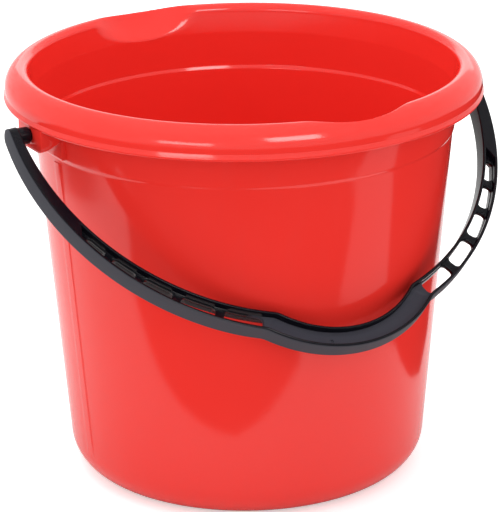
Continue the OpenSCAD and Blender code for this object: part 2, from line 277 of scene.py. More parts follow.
turned, given = new_shape_tree(
    "turned_piece", "Steps Round",
    "Crowding", "Ball Radius", "Ball Out", "Ball Up", "Skin", "Edge Softness",
)
outline, around = given["Geometry"], given["Steps Round"]
rows = outline.node("GeometryNodeAttributeDomainSize", None, {"Geometry": outline})
grid = around.node("GeometryNodeMeshGrid", None, {
    "Size X": around, "Size Y": rows - 1.0, "Vertices X": around + 1.0, "Vertices Y": rows,
})
grid_place = grid.node("GeometryNodeInputPosition")
column = grid_place.part(0) + around * 0.5
row = grid_place.part(1) + (rows - 1.0) * 0.5
row_index = row.node("FunctionNodeFloatToInt", {"rounding_mode": "ROUND"}, {0: row})


def of_row(name):
    """A named value of the outline's point that belongs to this row."""
    value = row.node("GeometryNodeInputNamedAttribute", {"data_type": "FLOAT"}, {"Name": name})
    settings = {"data_type": "FLOAT", "domain": "POINT"}
    return row.node("GeometryNodeSampleIndex", settings, {0: outline, 1: value, 2: row_index})


VALUES = ("out", "up", "rim_part", "behind")
out, up, rim_part, behind = map(of_row, VALUES)
print("each point of an outline carries", ", ".join(VALUES))

# %% The angle round the axis, and the distance to the scoop's ball
TINY, FAR = 1e-6, 1.0        # in metres: never zero, and further than any piece
even = column / around * (2 * math.pi)
angle = even - given["Crowding"] * 0.5 * (even * 2.0).math("SINE")
side, front = angle.math("SINE"), angle.math("COSINE")
ball_r = given["Ball Radius"] + behind * given["Skin"]
ball_out = given["Ball Out"] * front.math("ABSOLUTE") - POLE[0] * MM
ball_up = given["Ball Up"] - POLE[1] * MM
across = given["Ball Out"] * side
circle_2 = ball_r * ball_r - across * across
off_out, off_up = out - POLE[0] * MM, up - POLE[1] * MM
reach = (off_out * off_out + off_up * off_up).math("SQRT").math("MAXIMUM", TINY)
along = (ball_out * off_out + ball_up * off_up) / reach
under_root = along * along - (ball_out * ball_out + ball_up * ball_up - circle_2)
misses = (under_root < 0.0) + (along < 0.0)
ball_reach = along - under_root.math("MAXIMUM", 0.0).math("SQRT") + misses * FAR
print("scoop formula:", len(turned.nodes), "nodes so far")

# %% The points' places, and the end of the tree
MERGE = 3e-6


def close_tree(tree, shape, material):
    """The last nodes of each tree: realized instances with their material."""
    whole = shape.node("GeometryNodeRealizeInstances", None, {"Geometry": shape})
    done = whole.node("GeometryNodeSetMaterial", None, {"Geometry": whole, "Material": material})
    end = tree.nodes.new("NodeGroupOutput")
    tree.links.new(done.socket, end.inputs[0])
    print(tree.name, "tree:", len(tree.nodes), "nodes")


pressed = reach.math("SMOOTH_MIN", ball_reach, given["Edge Softness"])
shift = rim_part * (pressed / reach - 1.0)
new_out, new_up = shift * off_out + out, shift * off_up + up
spot = new_out.node("ShaderNodeCombineXYZ", None, {0: new_out * side, 1: new_out * front, 2: new_up})
shaped = spot.node("GeometryNodeSetPosition", None, {"Geometry": grid, "Position": spot})
merged = shaped.node("GeometryNodeMergeByDistance", None, {"Geometry": shaped, "Distance": MERGE})
smooth = merged.node("GeometryNodeSetShadeSmooth", None, {"Geometry": merged})
close_tree(turned, smooth, given["Material"])

# %% [markdown]
# ## From a tree to a plain mesh
# A modifier shows its result but leaves the mesh as it was, and the pieces here are cut and joined
# again and again. So each result is read back as a plain mesh, and the modifier is dropped. A closed
# mesh has a signed volume, which says whether its faces point outwards.

# %% Running a tree
def make_object(name, points, faces=()):
    """A mesh object in the scene from points in metres."""
    mesh = bpy.data.meshes.new(name)
    mesh.from_pydata([tuple(p) for p in points], [], list(faces))
    mesh.validate()
    made = bpy.data.objects.new(name, mesh)
    scene.collection.objects.link(made)
    return made


def settle(obj):
    """Replace a mesh by what its modifiers make of it, and drop them."""
    evaluated = obj.evaluated_get(bpy.context.evaluated_depsgraph_get())
    mesh = bpy.data.meshes.new_from_object(evaluated)
    obj.modifiers.clear()
    obj.data = mesh
    return obj


def grow(seed, tree, values):
    """Run a tree on a seed mesh."""
    modifier = seed.modifiers.new(tree.name, "NODES")
    modifier.node_group = tree
    for item in tree.interface.items_tree:
        if item.in_out == "INPUT" and item.name in values:
            modifier[item.identifier] = values[item.name]
    return settle(seed)


# %% The volume of a closed mesh, and turning a piece
def volume(obj):
    """Signed volume of a closed mesh, positive when its faces point outwards."""
    work = bmesh.new()
    work.from_mesh(obj.data)
    size = work.calc_volume(signed=True)
    work.free()
    return size


def outwards(obj):
    """Turn the faces of a closed mesh outwards if they point in."""
    if volume(obj) < 0:
        obj.data.flip_normals()
    return obj


def turn_piece(name, path, steps, material=None, flags=None, **sizes):
    """Turn a section in metres, given as distance from the axis and height, about Z."""
    path = np.asarray(path, float)
    seed = make_object(name, [(r, 0, z) for r, z in path])
    flags = np.zeros(path.shape) if flags is None else flags
    for label, data in zip(VALUES, np.hstack([path, flags]).T):
        seed.data.attributes.new(label, "FLOAT", "POINT").data.foreach_set("value", data)
    return outwards(grow(seed, turned, {"Steps Round": steps, "Material": material, **sizes}))


def report(obj):
    print(f"{obj.name}: {len(obj.data.polygons)} faces, {round(volume(obj) / MM**3)} mm3")


# %% [markdown]
# ## The pail itself
# The scoop is the hollow of a large ball pressed into the rim at the front and at the back, so that
# water leaves the pail in one stream. More steps are crowded round the scoops, where the shape
# changes quickly, than at the ears.

# %% Turn the pail
PAIL_STEPS, CROWDING, SCOOP_R, SCOOP_SOFT = 360, 0.5, 62.6, 4.0
SCOOP_TIP, SCOOP_LOW = np.array([149.4, 273.5]), np.array([136.9, 256.0])
chord = SCOOP_TIP - SCOOP_LOW
chord_length = np.linalg.norm(chord)
scoop_c = (SCOOP_TIP + SCOOP_LOW) / 2 + math.sqrt(SCOOP_R**2 - chord_length**2 / 4) * (
    np.array([-chord[1], chord[0]]) / chord_length)
pail = turn_piece("pail", section, PAIL_STEPS, flags=flags, Crowding=CROWDING, **{
    "Ball Radius": SCOOP_R * MM, "Ball Out": scoop_c[0] * MM, "Ball Up": scoop_c[1] * MM,
    "Skin": RIM_T * MM, "Edge Softness": SCOOP_SOFT * MM,
})
report(pail)

# %% [markdown]
# ## The ears
# An ear is a small box open at its back and bottom, moulded under the rim, with a flat pad on the wall
# below it. Drawn as a mesh by hand, it would have to be drawn again for each change of size. So a block
# is cut to the ear's front and side outlines, hollowed and bevelled, and then trimmed to the space
# behind the rim, so that it grows out of the middle of the rim's skin.

# %% Skins over rings, blocks with an outline, and cuts
def loft(name, rings, capped=True):
    """A skin over closed rings of points in millimetres, with or without a face at each end."""
    n, last = len(rings[0]), len(rings) - 1
    faces = [(k * n + j, k * n + (j + 1) % n, (k + 1) * n + (j + 1) % n, (k + 1) * n + j)
             for k in range(last) for j in range(n)]
    if capped:
        faces += [tuple(range(n - 1, -1, -1)), tuple(range(last * n, (last + 1) * n))]
    return make_object(name, np.array(rings, float).reshape(-1, 3) * MM, faces)


ALONG_X, ALONG_Y = (2, 0, 1), (0, 2, 1)        # which of across, up and along goes to X, Y and Z


def block(name, outline, low, high, order):
    """An outline pushed along an axis from low to high."""
    rings = np.array([[(*p[:2], level) for p in outline] for level in (low, high)])
    return outwards(loft(name, rings[:, :, order]))


def soften(obj, width, segments=2):
    """Round the sharp edges of a finished block."""
    modifier = obj.modifiers.new("soften", "BEVEL")
    modifier.width, modifier.segments = width * MM, segments
    modifier.limit_method, modifier.angle_limit = "ANGLE", math.radians(30)
    return settle(obj)


def combine(base, tool, operation):
    """Unite, cut or intersect two closed meshes and drop the tool."""
    modifier = base.modifiers.new(operation, "BOOLEAN")
    modifier.operation, modifier.solver, modifier.object = operation, "MANIFOLD", tool
    settle(base)
    bpy.data.objects.remove(tool)
    return base


# %% One ear
PIVOT_Z, EAR_X, EAR_T, EAR_W, CHEEK_T = 248.9, 154.6, 3.0, 32.0, 2.0
EAR_LOW, EAR_RISE, EAR_CORNER, EAR_BEVEL = 239.9, 10.0, 5.0, 0.5
DEEP, PAST = 100, 1        # a reach well inside the pail, and a cutter's reach past what it cuts
ROOM_LOW, ROOM_HIGH = 200, 300
half = EAR_W / 2
front_outline = (
    [(half, PAIL_H), (-half, PAIL_H)]
    + arc((-half + EAR_CORNER, EAR_LOW + EAR_CORNER), EAR_CORNER, 180, 270, 8)
    + arc((half - EAR_CORNER, EAR_LOW + EAR_CORNER), EAR_CORNER, 270, 360, 8)
)
side_outline = [
    (EAR_X, PAIL_H + PAST), (EAR_X, EAR_LOW - PAST), (EAR_X - EAR_T, EAR_LOW),
    (BAND_R - WALL_T, EAR_LOW + EAR_RISE), (BAND_R - WALL_T, PAIL_H + PAST),
]
inner_half = half - CHEEK_T
room = [(inner_half, ROOM_LOW), (inner_half, ROOM_HIGH)]
room += [(-y, z) for y, z in reversed(room)]
ear = block("ear", front_outline, DEEP, EAR_X, ALONG_X)
ear = combine(ear, block("ear_side", side_outline, -EAR_W, EAR_W, ALONG_Y), "INTERSECT")
ear = combine(ear, block("ear_room", room, DEEP, EAR_X - EAR_T, ALONG_X), "DIFFERENCE")
ear = soften(ear, EAR_BEVEL)
report(ear)

# %% Its pad, and the trim to the space behind the rim
PAD_X, PAD_HALF, PAD_LOW, PAD_HIGH, PAD_BEVEL = 139.9, 15.0, STEP_LOW + 2.5, FLANK_Z + 4, 1.2
pad_outline = [(PAD_HALF, PAD_HIGH), (-PAD_HALF, PAD_HIGH), (-PAD_HALF, PAD_LOW), (PAD_HALF, PAD_LOW)]
pad = soften(block("pad", pad_outline, DEEP, PAD_X, ALONG_X), PAD_BEVEL, segments=4)
space_low = (BAND_R - WALL_T / 2, STEP_LOW + 1, 0)
behind_rim = rounded(
    [space_low, (NECK_R - WALL_T / 2, FLANK_Z, 0)]
    + arc(crest_c, CREST_R - WALL_T / 2, 180, top_turn + APART, 8)
    + arc(shoulder_c, SHOULDER_R - RIM_T / 2, top_turn, low_turn, 14)
    + [(*bead_c, 0), (RIM_R + LIP_OUT, bead_c[1], 0), (RIM_R + LIP_OUT, space_low[1], 0), space_low]
)
hollow_space = turn_piece("hollow_space", behind_rim * MM, 180)
ear = combine(combine(ear, pad, "UNION"), hollow_space, "INTERSECT")
report(ear)

# %% [markdown]
# ## The band below each ear
# Down the wall below each ear runs a flat band about 9 mm wide. It stands only half a millimetre proud,
# so all that shows is a thin line of light along each of its edges. A bump texture could draw the lines
# but would not bend the reflections at a slant, so a strip with soft edges is lofted up the wall. It
# fades into the wall at the bottom.

# %% One band
RIB_W, RIB_H, RIB_EDGE, RIB_LOW, RIB_HIGH, RIB_FADE = 9.2, 0.5, 1.1, 24, STEP_LOW - 3, 10
RIB_SUNK = 0.02        # how far the strip's rim lies below the wall's skin
edge_steps = np.linspace(0, RIB_EDGE, 7)
flat_steps = np.linspace(RIB_EDGE, RIB_W - RIB_EDGE, 8)[1:-1]
over_rib = np.concatenate([edge_steps, flat_steps, RIB_W - edge_steps[::-1]]) - RIB_W / 2
rise = np.clip((RIB_W / 2 - np.abs(over_rib)) / RIB_EDGE, 0, 1)
rib_rings = []
for z in np.linspace(RIB_LOW, RIB_HIGH, 24):
    wall = BASE_R + (STEP_R - BASE_R) * z / STEP_LOW
    fade = min(1.0, (z - RIB_LOW) / RIB_FADE)
    proud = RIB_H * fade * rise * rise * (3 - 2 * rise) - RIB_SUNK
    rib_rings.append([(math.sqrt((wall + h) ** 2 - y * y), y, z) for h, y in zip(proud, over_rib)]
                     + [(wall - WALL_T / 2, y, z) for y in over_rib[::-1]])
rib = outwards(loft("wall_band", rib_rings))
report(rib)

# %% [markdown]
# ## Ears, bands and bores on the pail
# The real pail is one moulding, so the ears and bands are united with it by boolean, and the bores for
# the handle's pins are cut last. The far side is a copy turned half round.

# %% Unite, then drill
PIN_R, BORE_R, BORE_PAST, CREASE = 3.9, 4.2, 2, 40


def across_pail(obj):
    """A copy of a piece turned half round the pail's axis."""
    twin = obj.copy()
    twin.data = obj.data.copy()
    twin.data.transform(Matrix.Rotation(math.pi, 4, "Z"))
    scene.collection.objects.link(twin)
    return twin


along_pin = Matrix.Rotation(math.pi / 2, 4, "Y")
bore_low = -EAR_T - BORE_PAST
bore_path = [(0, bore_low), (BORE_R, bore_low), (BORE_R, BORE_PAST), (0, BORE_PAST)]
bore = turn_piece("bore", np.array(bore_path) * MM, 64)
bore.data.transform(Matrix.Translation((EAR_X * MM, 0, PIVOT_Z * MM)) @ along_pin)
for piece, operation in ((ear, "UNION"), (rib, "UNION"), (bore, "DIFFERENCE")):
    pail = combine(pail, across_pail(piece), operation)
    pail = combine(pail, piece, operation)
pail.data.set_sharp_from_angle(angle=math.radians(CREASE))
report(pail)

# %% [markdown]
# ## The handle's two edges
# Seen square on, the handle is the space between two edges. Each edge is an arc for the arms, a bend,
# and a tighter arc for the grip, and each touches the next. Every station along the handle needs one
# point on each edge and the direction into the plastic, and then the section can be built between them.
# A curve object with a bevel would be quicker, but its two edges would stay the same distance apart.

# %% Sizes of the handle, in millimetres, and where its arcs touch
HANDLE_D, ARM_END, ARM_IN, ARM_OUT, IN_DROP, OUT_DROP = 12.4, 6.2, 162.9, 169.8, 4.9, 12.0
GRIP_DIP, RECESS_FROM, GRIP_HALF = 12.5, 24.5, 55.0
INNER = {"arc_v": IN_DROP, "arc_r": math.hypot(ARM_IN, IN_DROP), "grip_r": 70.1, "bend_r": 13.2}
OUTER = {"arc_v": OUT_DROP, "arc_r": math.hypot(ARM_OUT, OUT_DROP), "grip_r": 90.0, "bend_r": 15.4}
for edge, side_sign in ((INNER, 1), (OUTER, -1)):
    edge["side"] = side_sign
    edge["grip_v"] = edge["arc_v"] + edge["arc_r"] + GRIP_DIP - edge["grip_r"]
    a, b = edge["arc_r"] + edge["bend_r"], edge["grip_r"] + edge["bend_r"]
    d = edge["grip_v"] - edge["arc_v"]
    up_to = (a * a - b * b + d * d) / (2 * d)
    edge["bend_c"] = (math.sqrt(a * a - up_to * up_to), edge["arc_v"] + up_to)
    edge["turn_arm"] = math.atan2(up_to, edge["bend_c"][0])
    edge["turn_grip"] = math.atan2(up_to - d, edge["bend_c"][0])
    print("arms end at", round(math.degrees(edge["turn_arm"]), 1), "degrees below the pins' line")


# %% Points along an edge
def on_edge(edge, stretch, t):
    """Point and inward direction at fraction t of a stretch, or at depth t past the pin."""
    side, centre, radius = edge["side"], (0, edge["arc_v"]), edge["arc_r"]
    recess_turn = math.radians(RECESS_FROM)
    if stretch == "end":
        turn = math.asin((t - edge["arc_v"]) / radius)
    elif stretch == "arm":
        pin_turn = math.asin(-edge["arc_v"] / radius)
        turn = pin_turn + (recess_turn - pin_turn) * t
    elif stretch == "slots":
        turn = recess_turn + (edge["turn_arm"] - recess_turn) * t
    elif stretch == "bend":
        turn = math.pi + edge["turn_arm"] + (edge["turn_grip"] - edge["turn_arm"]) * t
        centre, radius, side = edge["bend_c"], edge["bend_r"], -side
    else:
        turn = edge["turn_grip"] + (math.pi / 2 - edge["turn_grip"]) * t
        centre, radius = (0, edge["grip_v"]), edge["grip_r"]
    way = np.array([math.cos(turn), math.sin(turn)])
    return np.array(centre) + radius * way, side * way


print("middle of the grip:", [on_edge(edge, "grip", 1)[0].round(1) for edge in (INNER, OUTER)])

# %% [markdown]
# ## The handle's section
# Along the arms the handle is two flanges with a web between them, sunk from both faces. The web is
# thinner along the grip, and the grip's outer corners are rounded wide, because fingers close round
# them. Lofting this section along the stations gives clean rows of faces and even highlights.

# %% Half of the section, from one edge to the web's floor
FLANGE_T, WEB_HALF, GRIP_WEB_HALF, CORNER_STEPS = 2.0, 1.5, 1.0, 8
ARM_ROUND, GRIP_ROUND, INNER_ROUND, LIP_ROUND, WEB_ROUND = 0.9, 1.9, 1.0, 0.5, 0.35


def edge_rows(depth, web, corner):
    """Rows from an edge to the web's floor, as distance into the plastic and height."""
    sunk = min(1.0, max(0.0, depth - web))
    lip, foot = LIP_ROUND * sunk, WEB_ROUND * sunk
    corner = min(corner, depth)
    room = FLANGE_T - lip
    last = math.acos(1 - room / corner) if corner > room else math.pi / 2
    turns = [last * k / CORNER_STEPS for k in range(CORNER_STEPS + 1)]
    rows = [(corner * (1 - math.cos(a)), depth - corner * (1 - math.sin(a))) for a in turns]
    top = rows[-1][1]
    rows += [(FLANGE_T - lip * (1 - math.sin(a)), top - lip * (1 - math.cos(a)))
             for a in np.radians([0, 30, 60, 90])]
    floor = min(web, top - lip)
    return rows + [(FLANGE_T + foot * (1 - math.cos(a)), floor + foot * (1 - math.sin(a)))
                   for a in np.radians([0, 45, 90])]


print("rows on a flange:", len(edge_rows(HANDLE_D / 2, WEB_HALF, ARM_ROUND)))

# %% Stations from the right arm's end to the middle of the grip
HAND_FROM, HAND_FULL = 72, 48        # where the grip's wide corners start and are complete
SINK_OVER, SUNK_FROM = 0.015, 0.02        # how soon the web sinks, and the first station past that
THIN_OVER = 1        # half the length over which the web grows thinner
END_TURNS = (0, 4, 10, 18, 27, 36, 45, 54, 63, 72, 81)
stations = [("end", -ARM_END * math.cos(math.radians(a))) for a in END_TURNS]
stations += [("arm", t) for t in np.linspace(0, 1, 27)[:-1]]
stations += [("slots", t) for t in np.linspace(0, SINK_OVER, 7)]
stations += [("slots", t) for t in np.linspace(SUNK_FROM, 1, 50)]
stations += [("bend", t) for t in np.linspace(0, 1, 15)[1:]]
stations += [("grip", t) for t in np.linspace(0, 1, 41)[1:]]


def blend(x, start, stop):
    """0 before start, 1 after stop, and smooth between."""
    t = min(1.0, max(0.0, (x - start) / (stop - start)))
    return t * t * (3 - 2 * t)


print("stations on half of the handle:", len(stations))


# %% The rings of points at the stations
ON_FLOOR = (0.33, 0.67)        # where the web's floor has points of its own


def station_ring(stretch, t):
    """The closed section at one station, as x, y and height above the middle plane."""
    (inner_p, inner_n), (outer_p, outer_n) = on_edge(INNER, stretch, t), on_edge(OUTER, stretch, t)
    depth = math.sqrt(max(0.0, ARM_END**2 - t * t)) if stretch == "end" else HANDLE_D / 2
    beside = (inner_p[0] + outer_p[0]) / 2
    recess = {"end": 0, "arm": 0, "slots": blend(t, 0, SINK_OVER)}.get(stretch, 1)
    thinner = blend(-beside, -GRIP_HALF - THIN_OVER, -GRIP_HALF + THIN_OVER) * (WEB_HALF - GRIP_WEB_HALF)
    web = depth - recess * (depth - WEB_HALF) - thinner
    corner = ARM_ROUND + blend(-beside, -HAND_FROM, -HAND_FULL) * (GRIP_ROUND - ARM_ROUND)
    out_rows, in_rows = edge_rows(depth, web, corner), edge_rows(depth, web, INNER_ROUND)
    upper = [(*(outer_p + outer_n * s), h) for s, h in out_rows]
    floor_a = np.array(upper[-1])
    floor_b = np.array((*(inner_p + inner_n * in_rows[-1][0]), in_rows[-1][1]))
    upper += [tuple(floor_a + (floor_b - floor_a) * k) for k in ON_FLOOR]
    upper += [(*(inner_p + inner_n * s), h) for s, h in reversed(in_rows)]
    return upper + [(x, y, -h) for x, y, h in reversed(upper)]


rings = [station_ring(stretch, t) for stretch, t in stations]
rings += [[(-x, y, h) for x, y, h in ring] for ring in reversed(rings[:-1])]
print("handle stations:", len(rings), "with", len(rings[0]), "points each")

# %% Loft the stations into the bow
WELD = 2e-6


def weld(obj):
    """Merge points that lie on each other."""
    work = bmesh.new()
    work.from_mesh(obj.data)
    bmesh.ops.remove_doubles(work, verts=work.verts, dist=WELD)
    bmesh.ops.dissolve_degenerate(work, edges=work.edges, dist=WELD / 3)
    work.to_mesh(obj.data)
    work.free()
    return obj


bow = outwards(weld(loft("handle_bow", rings, capped=False)))
report(bow)

# %% [markdown]
# ## The slots
# Each arm has five slots through its web, each longer than the last, with a bar between neighbours.
# That is a rule, so Geometry Nodes place the cutters: one round-cornered template on ten points, whose
# length, width and bend come from the slot's own number.

# %% The tree for the slot cutters: one template for each slot
SLOTS, SLOT_FROM, SLOT_LEN, SLOT_GROW, BAR_W, LAND, SLOT_CORNER = 5, 26.3, 15.2, 2.6, 5.6, 0.3, 3.0
slot_row, given = new_shape_tree(
    "slot_cutters", "Slots", "First Angle", "First Length", "Growth", "Bar Width", "Corner",
    "Middle Radius", "Middle Depth", "Slot Width", "Width Change",
)
template, count = given["Geometry"], given["Slots"]
spots = count.node("GeometryNodePoints", None, {"Count": count * 2.0})
spots = spots.node("GeometryNodeStoreNamedAttribute", {"data_type": "FLOAT", "domain": "POINT"}, {
    "Geometry": spots, "Name": "number", "Value": spots.node("GeometryNodeInputIndex"),
})
copies = spots.node("GeometryNodeInstanceOnPoints", None, {"Points": spots, "Instance": template})
copies = copies.node("GeometryNodeRealizeInstances", None, {"Geometry": copies})


def stored(name, kind="FLOAT"):
    """A named value of the copies' own points."""
    return copies.node("GeometryNodeInputNamedAttribute", {"data_type": kind}, {"Name": name})


print("slot cutters:", 2 * SLOTS, "copies of one template")

# %% Where each point of a cutter goes
CORNER_SHARE = 0.45        # the most of a slot's width that a corner takes
number, flare = stored("number"), stored("flare")
to_corner, to_skin = stored("corner", "FLOAT_VECTOR"), stored("way", "FLOAT_VECTOR")
left = number > (count - 0.5)
i = number - left * count
length = given["First Length"] + given["Growth"] * i
begins = i * (given["First Length"] + given["Bar Width"]) + given["Growth"] * 0.5 * i * (i - 1.0)
middle = given["First Angle"] + (begins + length * 0.5) / given["Middle Radius"]
width = given["Slot Width"] + given["Width Change"] * middle.math("SINE")
corner = given["Corner"].math("MINIMUM", width * CORNER_SHARE)
x = to_corner.part(0) * (width * 0.5 - corner) + to_skin.part(0) * (corner + flare)
y = to_corner.part(1) * (length * 0.5 - corner) + to_skin.part(1) * (corner + flare)
turn = middle + y / given["Middle Radius"]
x = x * (given["Slot Width"] + given["Width Change"] * turn.math("SINE")) / width
radius = given["Middle Radius"] + x
cutter_spot = radius.node("ShaderNodeCombineXYZ", None, {
    0: radius * turn.math("COSINE") * (1.0 - left * 2.0),
    1: radius * turn.math("SINE") + given["Middle Depth"],
    2: stored("height"),
})
bent = cutter_spot.node("GeometryNodeSetPosition", None, {"Geometry": copies, "Position": cutter_spot})
flipped = bent.node("GeometryNodeFlipFaces", None, {"Mesh": bent, "Selection": left > 0.5})
close_tree(slot_row, flipped, given["Material"])

# %% The template: a round-cornered box that flares where it leaves the web
TURN_STEPS, SIDE_STEPS, FLARE = 6, 4, 0.45
FLARE_SHAPE = ((-0.4, 1), (0, 1), (0.12, 0.4), (0.45, 0))        # depth in the web, share of the flare
QUARTERS = ((1, 1), (-1, 1), (-1, -1), (1, -1))
outline_corners, outline_ways = [], []
for k, (sx, sy) in enumerate(QUARTERS):
    turns = [math.pi / 2 * (k + s / TURN_STEPS) for s in range(TURN_STEPS + 1)]
    outline_corners += [(sx, sy, 0)] * len(turns)
    outline_ways += [(math.cos(a), math.sin(a), 0) for a in turns]
    next_sx, next_sy = QUARTERS[(k + 1) % 4]
    shares = [s / SIDE_STEPS for s in range(1, SIDE_STEPS)]
    outline_corners += [(sx + (next_sx - sx) * t, sy + (next_sy - sy) * t, 0) for t in shares]
    outline_ways += [outline_ways[-1]] * len(shares)
levels = [(depth - WEB_HALF, share * FLARE) for depth, share in FLARE_SHAPE]
levels += [(-h, f) for h, f in reversed(levels)]
round_once = [(c[0] + w[0], c[1] + w[1]) for c, w in zip(outline_corners, outline_ways)]
seed = loft("slot_cutters", [[(*p, h) for p in round_once] for h, _ in levels])
for label, ring in (("corner", outline_corners), ("way", outline_ways)):
    attribute = seed.data.attributes.new(label, "FLOAT_VECTOR", "POINT")
    attribute.data.foreach_set("vector", np.tile(ring, (len(levels), 1)).ravel())
for label, values in (("height", [h for h, _ in levels]), ("flare", [f for _, f in levels])):
    attribute = seed.data.attributes.new(label, "FLOAT", "POINT")
    attribute.data.foreach_set("value", np.repeat([v * MM for v in values], len(round_once)))
print("template:", len(round_once), "points round,", len(levels), "levels")

# %% Grow the cutters and cut the slots
slots = grow(seed, slot_row, {
    "Slots": SLOTS, "First Angle": math.radians(SLOT_FROM), "First Length": SLOT_LEN * MM,
    "Growth": SLOT_GROW * MM, "Bar Width": BAR_W * MM, "Corner": SLOT_CORNER * MM,
    "Middle Radius": (INNER["arc_r"] + OUTER["arc_r"]) / 2 * MM,
    "Middle Depth": (INNER["arc_v"] + OUTER["arc_v"]) / 2 * MM,
    "Slot Width": (OUTER["arc_r"] - INNER["arc_r"] - 2 * FLANGE_T - 2 * LAND) * MM,
    "Width Change": (OUTER["arc_v"] - INNER["arc_v"]) * MM,
})
report(slots)
bow = combine(bow, slots, "DIFFERENCE")

# %% [markdown]
# ## The gate mark
# Plastic runs into the mould through a small gate, and where it was broken off, a dot stays on the
# grip's web. It is a shallow dimple with a soft edge, cut with a small turned piece.

# %% Cut the dimple
GATE_X, GATE_Y, GATE_R, GATE_NECK_R, GATE_TIP_R = -20, 186, 1.35, 1.25, 0.8
GATE_BACK, GATE_NECK, GATE_TIP = -2.0, -0.9, -0.3        # heights above the handle's middle plane
GATE_NECK_ROUND, GATE_TIP_ROUND = 0.3, 0.4
gate_path = rounded([
    (0, GATE_BACK, 0), (GATE_R, GATE_BACK, 0), (GATE_NECK_R, GATE_NECK, GATE_NECK_ROUND),
    (GATE_TIP_R, GATE_TIP, GATE_TIP_ROUND), (0, GATE_TIP, 0),
]) * MM
gate = turn_piece("gate_mark", gate_path, 32)
gate.data.transform(Matrix.Translation((GATE_X * MM, GATE_Y * MM, 0)))
bow = combine(bow, gate, "DIFFERENCE")
report(bow)

# %% [markdown]
# ## Hanging the bow on its pins
# The bow was drawn flat in its own plane. It turns down about the pins until its back meets the wall,
# which is the angle that the CAD model rests at. The snap-in pins are turned pieces: a head behind the
# ear's plate, a shank through the bore, and a collar up to the arm.

# %% Turn the bow down and add the pins
LEAN, HANDLE_CREASE = math.radians(50.0956), 38
HEAD_R, COLLAR_R, HEAD_FROM, HEAD_TO, SHANK_TO = 5.3, 5.6, 149.0, 151.2, 155.0
COLLAR_FROM, COLLAR_MID, COLLAR_TO = 156.2, 160.0, 166.3
HEAD_ROUND, HEAD_FACE_ROUND, SHANK_ROUND, SHANK_END_ROUND = 0.9, 0.4, 0.2, 0.3
COLLAR_ROUND, COLLAR_END_ROUND = 0.5, 0.3
down = Matrix((
    (1, 0, 0, 0),
    (0, -math.sin(LEAN), math.cos(LEAN), 0),
    (0, -math.cos(LEAN), -math.sin(LEAN), PIVOT_Z * MM),
    (0, 0, 0, 1),
))
bow.data.transform(down)
pin_path = rounded([
    (0, HEAD_FROM, 0), (HEAD_R, HEAD_FROM, HEAD_ROUND), (HEAD_R, HEAD_TO, HEAD_FACE_ROUND),
    (PIN_R, HEAD_TO, SHANK_ROUND), (PIN_R, SHANK_TO, SHANK_END_ROUND),
    (COLLAR_R, COLLAR_FROM, COLLAR_ROUND), (COLLAR_R, COLLAR_MID, 0),
    (COLLAR_R, COLLAR_TO, COLLAR_END_ROUND), (0, COLLAR_TO, 0),
]) * MM
pin = turn_piece("pin", pin_path, 72)
pin.data.transform(Matrix.Translation((0, 0, PIVOT_Z * MM)) @ along_pin)
bow = combine(bow, across_pail(pin), "UNION")
bow = combine(bow, pin, "UNION")
bow.data.shade_smooth()
bow.data.set_sharp_from_angle(angle=math.radians(HANDLE_CREASE))
report(bow)

# %% [markdown]
# The handle's outer side keeps the fine matt skin of the mould, and the narrow front faces are smoother.
# The outer side is also painted a lighter grey, which stands for light it reflects from the pale floor.
# A material can't know where the outer side is, so each point of the finished mesh gets a number: 1 on
# the outer side, and 0 from half a millimetre inside it.

# %% Mark the outer side
OUTER_MARK_FROM, OUTER_MARK_TO = 0.15, 0.5
outer_line = np.array([on_edge(OUTER, stretch, t)[0] for stretch, t in stations])
line_turn, line_reach = np.arctan2(outer_line[:, 1], outer_line[:, 0]), np.hypot(*outer_line.T)
flat_points = np.array([down.inverted() @ v.co for v in bow.data.vertices]) / MM
point_turn = np.arctan2(flat_points[:, 1], np.abs(flat_points[:, 0]))
inside_by = np.interp(point_turn, line_turn, line_reach) - np.hypot(*flat_points[:, :2].T)
# 1 on the outer side, which is made matt and also painted a lighter grey as reflected light
matt_and_painted_light = np.clip((OUTER_MARK_TO - inside_by) / (OUTER_MARK_TO - OUTER_MARK_FROM), 0, 1)
bow.data.attributes.new("matt_and_painted_light", "FLOAT", "POINT").data.foreach_set("value", matt_and_painted_light)
print("points on the outer side:", int((matt_and_painted_light > 0.5).sum()), "of", len(matt_and_painted_light))

# %% [markdown]
# ## Materials from small parts
# Both finishes are one Principled shader each. What is the same all over is set on its own socket, and
# what changes over the surface comes from noise on the object's own coordinates, so it turns with the
# piece and needs no unwrapping. Turned pieces and cutters bring empty material slots into a mesh, so a
# finished piece has its slots cleared before it gets its one material.

# %% A material's surface, its inputs, colours and noise
OBJECT_COORDINATES = 3        # an output of Texture Coordinate


def new_material(name, settings):
    """A material, its Principled surface with values on its sockets, and the object's coordinates."""
    made = bpy.data.materials.new(name)
    made.use_nodes = True
    surface = made.node_tree.nodes["Principled BSDF"]
    for label, value in settings.items():
        surface.inputs[label].default_value = value
    start = Term(made.node_tree, surface.outputs[0])
    return made, surface, start.node("ShaderNodeTexCoord", None, None, OBJECT_COORDINATES)


def coat(obj, material):
    """Put one material on all faces of a mesh."""
    obj.data.materials.clear()
    obj.data.materials.append(material)


def feed(surface, label, term):
    term.tree.links.new(term.socket, surface.inputs[label])


def mix_colour(a, b, amount):
    """From colour a to colour b by amount."""
    return amount.node("ShaderNodeMix", {"data_type": "RGBA"}, {0: amount, 6: a, 7: b}, 2)


def noise(place, scale, detail=2.0, stretch=(1, 1, 1)):
    """Noise at a scale in bumps per metre, stretched along an axis."""
    moved = place.node("ShaderNodeMapping", None, {"Vector": place, "Scale": stretch})
    return moved.node("ShaderNodeTexNoise", None, {"Vector": moved, "Scale": scale, "Detail": detail})


def dent(height, strength, distance):
    """The normal of a surface with small heights on it."""
    settings = {"Strength": strength, "Distance": distance, "Height": height}
    return height.node("ShaderNodeBump", None, settings)


